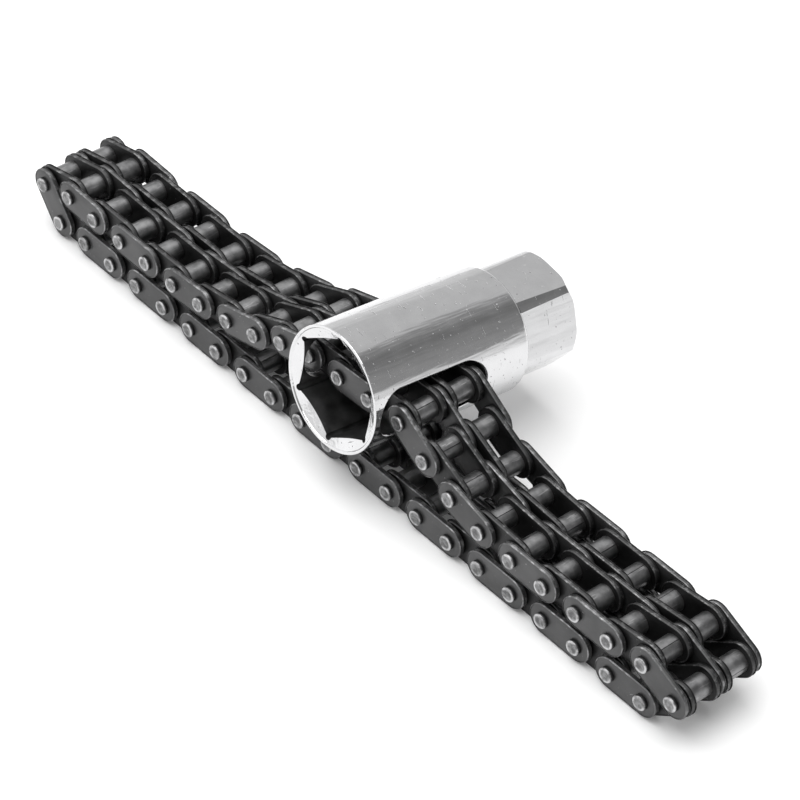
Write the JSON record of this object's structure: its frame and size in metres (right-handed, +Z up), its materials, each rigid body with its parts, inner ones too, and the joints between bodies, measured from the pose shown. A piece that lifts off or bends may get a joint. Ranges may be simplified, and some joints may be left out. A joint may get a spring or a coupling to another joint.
{
  "type": "oil filter wrench",
  "caption": "Chain oil filter wrench: a chromed socket tube with a hexagon drive end, and an endless double strand chain through its two side slots, lying flat.",
  "frame": {"origin": "middle of the object's box, on the surface that the chain lies on", "axes": "+X along the chain, +Y along the socket tube from its mouth to its drive end, +Z up"},
  "size_m": [0.2121, 0.061, 0.0398],
  "materials": {
    "chrome": "bright chrome plate with fine wear",
    "outer_steel": "blackened and oiled, bright worn edges",
    "inner_steel": "blackened and oiled, bright worn edges"
  },
  "bodies": {
    "socket": {"socket_tube": "chrome"},
    "inner_link_01": {"inner_link_01_front": "inner_steel", "inner_link_01_rear": "inner_steel"},
    "outer_link_01": {"outer_link_01": "outer_steel"},
    "inner_link_02": {"inner_link_02_front": "inner_steel", "inner_link_02_rear": "inner_steel"},
    "outer_link_02": {"outer_link_02": "outer_steel"},
    "inner_link_03": {"inner_link_03_front": "inner_steel", "inner_link_03_rear": "inner_steel"},
    "outer_link_03": {"outer_link_03": "outer_steel"},
    "inner_link_04": {"inner_link_04_front": "inner_steel", "inner_link_04_rear": "inner_steel"},
    "outer_link_04": {"outer_link_04": "outer_steel"},
    "inner_link_05": {"inner_link_05_front": "inner_steel", "inner_link_05_rear": "inner_steel"},
    "outer_link_05": {"outer_link_05": "outer_steel"},
    "inner_link_06": {"inner_link_06_pair": "inner_steel"},
    "outer_link_06": {"outer_link_06": "outer_steel"},
    "inner_link_07": {"inner_link_07_pair": "inner_steel"},
    "outer_link_07": {"outer_link_07": "outer_steel"},
    "inner_link_08": {"inner_link_08_front": "inner_steel", "inner_link_08_rear": "inner_steel"},
    "outer_link_08": {"outer_link_08": "outer_steel"},
    "inner_link_09": {"inner_link_09_front": "inner_steel", "inner_link_09_rear": "inner_steel"},
    "outer_link_09": {"outer_link_09": "outer_steel"},
    "inner_link_10": {"inner_link_10_front": "inner_steel", "inner_link_10_rear": "inner_steel"},
    "outer_link_10": {"outer_link_10": "outer_steel"},
    "inner_link_11": {"inner_link_11_front": "inner_steel", "inner_link_11_rear": "inner_steel"},
    "outer_link_11": {"outer_link_11": "outer_steel"},
    "inner_link_12": {"inner_link_12_front": "inner_steel", "inner_link_12_rear": "inner_steel"},
    "outer_link_12": {"outer_link_12": "outer_steel"},
    "inner_link_13": {"inner_link_13_front": "inner_steel", "inner_link_13_rear": "inner_steel"},
    "outer_link_13": {"outer_link_13": "outer_steel"},
    "inner_link_14": {"inner_link_14_front": "inner_steel", "inner_link_14_rear": "inner_steel"},
    "outer_link_14": {"outer_link_14": "outer_steel"},
    "inner_link_15": {"inner_link_15_pair": "inner_steel"},
    "outer_link_15": {"outer_link_15": "outer_steel"},
    "inner_link_16": {"inner_link_16_pair": "inner_steel"},
    "outer_link_16": {"outer_link_16": "outer_steel"},
    "inner_link_17": {"inner_link_17_pair": "inner_steel"},
    "outer_link_17": {"outer_link_17": "outer_steel"},
    "inner_link_18": {"inner_link_18_pair": "inner_steel"},
    "outer_link_18": {"outer_link_18": "outer_steel"},
    "inner_link_19": {"inner_link_19_pair": "inner_steel"},
    "outer_link_19": {"outer_link_19": "outer_steel"},
    "inner_link_20": {"inner_link_20_front": "inner_steel", "inner_link_20_rear": "inner_steel"},
    "outer_link_20": {"outer_link_20": "outer_steel"},
    "inner_link_21": {"inner_link_21_front": "inner_steel", "inner_link_21_rear": "inner_steel"},
    "outer_link_21": {"outer_link_21": "outer_steel"},
    "inner_link_22": {"inner_link_22_front": "inner_steel", "inner_link_22_rear": "inner_steel"},
    "outer_link_22": {"outer_link_22": "outer_steel"}
  },
  "joints": [
    {"name": "chain_slide", "type": "slide", "parent": "socket", "child": "outer_link_06", "axis": [1, 0, 0], "range_m": [-0.0006, 0.0006]},
    {"name": "left_pin_01", "type": "hinge", "parent": "outer_link_06", "child": "inner_link_06", "pos_m": [0.00085, -0.01285, 0.02387], "axis": [0, 1, 0], "range_deg": [0, 1.5]},
    {"name": "left_pin_02", "type": "hinge", "parent": "inner_link_06", "child": "outer_link_05", "pos_m": [-0.00867, -0.01285, 0.02354], "axis": [0, 1, 0], "range_deg": [0, 6]},
    {"name": "left_pin_03", "type": "hinge", "parent": "outer_link_05", "child": "inner_link_05", "pos_m": [-0.01778, -0.01285, 0.02076], "axis": [0, 1, 0], "range_deg": [0, 15]},
    {"name": "left_pin_04", "type": "hinge", "parent": "inner_link_05", "child": "outer_link_04", "pos_m": [-0.02655, -0.01285, 0.01704], "axis": [0, 1, 0], "range_deg": [0, 15]},
    {"name": "left_pin_05", "type": "hinge", "parent": "outer_link_04", "child": "inner_link_04", "pos_m": [-0.03579, -0.01285, 0.01473], "axis": [0, 1, 0], "range_deg": [0, 15]},
    {"name": "left_pin_06", "type": "hinge", "parent": "inner_link_04", "child": "outer_link_03", "pos_m": [-0.0452, -0.01285, 0.01324], "axis": [0, 1, 0], "range_deg": [0, 15]},
    {"name": "left_pin_07", "type": "hinge", "parent": "outer_link_03", "child": "inner_link_03", "pos_m": [-0.0547, -0.01285, 0.01258], "axis": [0, 1, 0], "range_deg": [0, 15]},
    {"name": "left_pin_08", "type": "hinge", "parent": "inner_link_03", "child": "outer_link_02", "pos_m": [-0.06423, -0.01285, 0.01258], "axis": [0, 1, 0], "range_deg": [0, 15]},
    {"name": "left_pin_09", "type": "hinge", "parent": "outer_link_02", "child": "inner_link_02", "pos_m": [-0.07375, -0.01285, 0.01258], "axis": [0, 1, 0], "range_deg": [0, 15]},
    {"name": "left_pin_10", "type": "hinge", "parent": "inner_link_02", "child": "outer_link_01", "pos_m": [-0.08327, -0.01285, 0.01276], "axis": [0, 1, 0], "range_deg": [0, 15]},
    {"name": "left_pin_11", "type": "hinge", "parent": "outer_link_01", "child": "inner_link_01", "pos_m": [-0.09279, -0.01285, 0.01319], "axis": [0, 1, 0], "range_deg": [0, 15]},
    {"name": "left_pin_12", "type": "hinge", "parent": "inner_link_01", "child": "outer_link_22", "pos_m": [-0.10211, -0.01285, 0.01121], "axis": [0, 1, 0], "range_deg": [0, 100]},
    {"name": "left_pin_13", "type": "hinge", "parent": "outer_link_22", "child": "inner_link_22", "pos_m": [-0.09588, -0.01285, 0.004], "axis": [0, 1, 0], "range_deg": [0, 45]},
    {"name": "left_pin_14", "type": "hinge", "parent": "inner_link_22", "child": "outer_link_21", "pos_m": [-0.08636, -0.01285, 0.004], "axis": [0, 1, 0], "range_deg": [0, 15]},
    {"name": "left_pin_15", "type": "hinge", "parent": "outer_link_21", "child": "inner_link_21", "pos_m": [-0.07683, -0.01285, 0.004], "axis": [0, 1, 0], "range_deg": [0, 15]},
    {"name": "left_pin_16", "type": "hinge", "parent": "inner_link_21", "child": "outer_link_20", "pos_m": [-0.06731, -0.01285, 0.004], "axis": [0, 1, 0], "range_deg": [0, 15]},
    {"name": "left_pin_17", "type": "hinge", "parent": "outer_link_20", "child": "inner_link_20", "pos_m": [-0.05778, -0.01285, 0.004], "axis": [0, 1, 0], "range_deg": [0, 15]},
    {"name": "left_pin_18", "type": "hinge", "parent": "inner_link_20", "child": "outer_link_19", "pos_m": [-0.04826, -0.01285, 0.004], "axis": [0, 1, 0], "range_deg": [0, 15]},
    {"name": "left_pin_19", "type": "hinge", "parent": "outer_link_19", "child": "inner_link_19", "pos_m": [-0.03873, -0.01285, 0.004], "axis": [0, 1, 0], "range_deg": [0, 15]},
    {"name": "left_pin_20", "type": "hinge", "parent": "inner_link_19", "child": "outer_link_18", "pos_m": [-0.02921, -0.01285, 0.004], "axis": [0, 1, 0], "range_deg": [0, 15]},
    {"name": "left_pin_21", "type": "hinge", "parent": "outer_link_18", "child": "inner_link_18", "pos_m": [-0.01968, -0.01285, 0.004], "axis": [0, 1, 0], "range_deg": [0, 15]},
    {"name": "left_pin_22", "type": "hinge", "parent": "inner_link_18", "child": "outer_link_17", "pos_m": [-0.01016, -0.01285, 0.004], "axis": [0, 1, 0], "range_deg": [0, 15]},
    {"name": "right_pin_01", "type": "hinge", "parent": "outer_link_06", "child": "inner_link_07", "pos_m": [0.01036, -0.01285, 0.02437], "axis": [0, 1, 0], "range_deg": [-2, 0]},
    {"name": "right_pin_02", "type": "hinge", "parent": "inner_link_07", "child": "outer_link_07", "pos_m": [0.01988, -0.01285, 0.02471], "axis": [0, 1, 0], "range_deg": [-8, 0]},
    {"name": "right_pin_03", "type": "hinge", "parent": "outer_link_07", "child": "inner_link_08", "pos_m": [0.02804, -0.01285, 0.0198], "axis": [0, 1, 0], "range_deg": [-15, 0]},
    {"name": "right_pin_04", "type": "hinge", "parent": "inner_link_08", "child": "outer_link_08", "pos_m": [0.0366, -0.01285, 0.01562], "axis": [0, 1, 0], "range_deg": [-15, 0]},
    {"name": "right_pin_05", "type": "hinge", "parent": "outer_link_08", "child": "inner_link_09", "pos_m": [0.0458, -0.01285, 0.01316], "axis": [0, 1, 0], "range_deg": [-15, 0]},
    {"name": "right_pin_06", "type": "hinge", "parent": "inner_link_09", "child": "outer_link_09", "pos_m": [0.0553, -0.01285, 0.01249], "axis": [0, 1, 0], "range_deg": [-15, 0]},
    {"name": "right_pin_07", "type": "hinge", "parent": "outer_link_09", "child": "inner_link_10", "pos_m": [0.06483, -0.01285, 0.01249], "axis": [0, 1, 0], "range_deg": [-15, 0]},
    {"name": "right_pin_08", "type": "hinge", "parent": "inner_link_10", "child": "outer_link_10", "pos_m": [0.07435, -0.01285, 0.01249], "axis": [0, 1, 0], "range_deg": [-15, 0]},
    {"name": "right_pin_09", "type": "hinge", "parent": "outer_link_10", "child": "inner_link_11", "pos_m": [0.08388, -0.01285, 0.01249], "axis": [0, 1, 0], "range_deg": [-15, 0]},
    {"name": "right_pin_10", "type": "hinge", "parent": "inner_link_11", "child": "outer_link_11", "pos_m": [0.09334, -0.01285, 0.01361], "axis": [0, 1, 0], "range_deg": [-25, 0]},
    {"name": "right_pin_11", "type": "hinge", "parent": "outer_link_11", "child": "inner_link_12", "pos_m": [0.10211, -0.01285, 0.00989], "axis": [0, 1, 0], "range_deg": [-100, 0]},
    {"name": "right_pin_12", "type": "hinge", "parent": "inner_link_12", "child": "outer_link_12", "pos_m": [0.09462, -0.01285, 0.004], "axis": [0, 1, 0], "range_deg": [-35, 0]},
    {"name": "right_pin_13", "type": "hinge", "parent": "outer_link_12", "child": "inner_link_13", "pos_m": [0.08509, -0.01285, 0.004], "axis": [0, 1, 0], "range_deg": [-15, 0]},
    {"name": "right_pin_14", "type": "hinge", "parent": "inner_link_13", "child": "outer_link_13", "pos_m": [0.07557, -0.01285, 0.004], "axis": [0, 1, 0], "range_deg": [-15, 0]},
    {"name": "right_pin_15", "type": "hinge", "parent": "outer_link_13", "child": "inner_link_14", "pos_m": [0.06604, -0.01285, 0.004], "axis": [0, 1, 0], "range_deg": [-15, 0]},
    {"name": "right_pin_16", "type": "hinge", "parent": "inner_link_14", "child": "outer_link_14", "pos_m": [0.05652, -0.01285, 0.004], "axis": [0, 1, 0], "range_deg": [-15, 0]},
    {"name": "right_pin_17", "type": "hinge", "parent": "outer_link_14", "child": "inner_link_15", "pos_m": [0.04699, -0.01285, 0.004], "axis": [0, 1, 0], "range_deg": [-15, 0]},
    {"name": "right_pin_18", "type": "hinge", "parent": "inner_link_15", "child": "outer_link_15", "pos_m": [0.03747, -0.01285, 0.004], "axis": [0, 1, 0], "range_deg": [-15, 0]},
    {"name": "right_pin_19", "type": "hinge", "parent": "outer_link_15", "child": "inner_link_16", "pos_m": [0.02794, -0.01285, 0.004], "axis": [0, 1, 0], "range_deg": [-15, 0]},
    {"name": "right_pin_20", "type": "hinge", "parent": "inner_link_16", "child": "outer_link_16", "pos_m": [0.01842, -0.01285, 0.004], "axis": [0, 1, 0], "range_deg": [-15, 0]},
    {"name": "right_pin_21", "type": "hinge", "parent": "outer_link_16", "child": "inner_link_17", "pos_m": [0.00889, -0.01285, 0.004], "axis": [0, 1, 0], "range_deg": [-15, 0]}
  ]
}
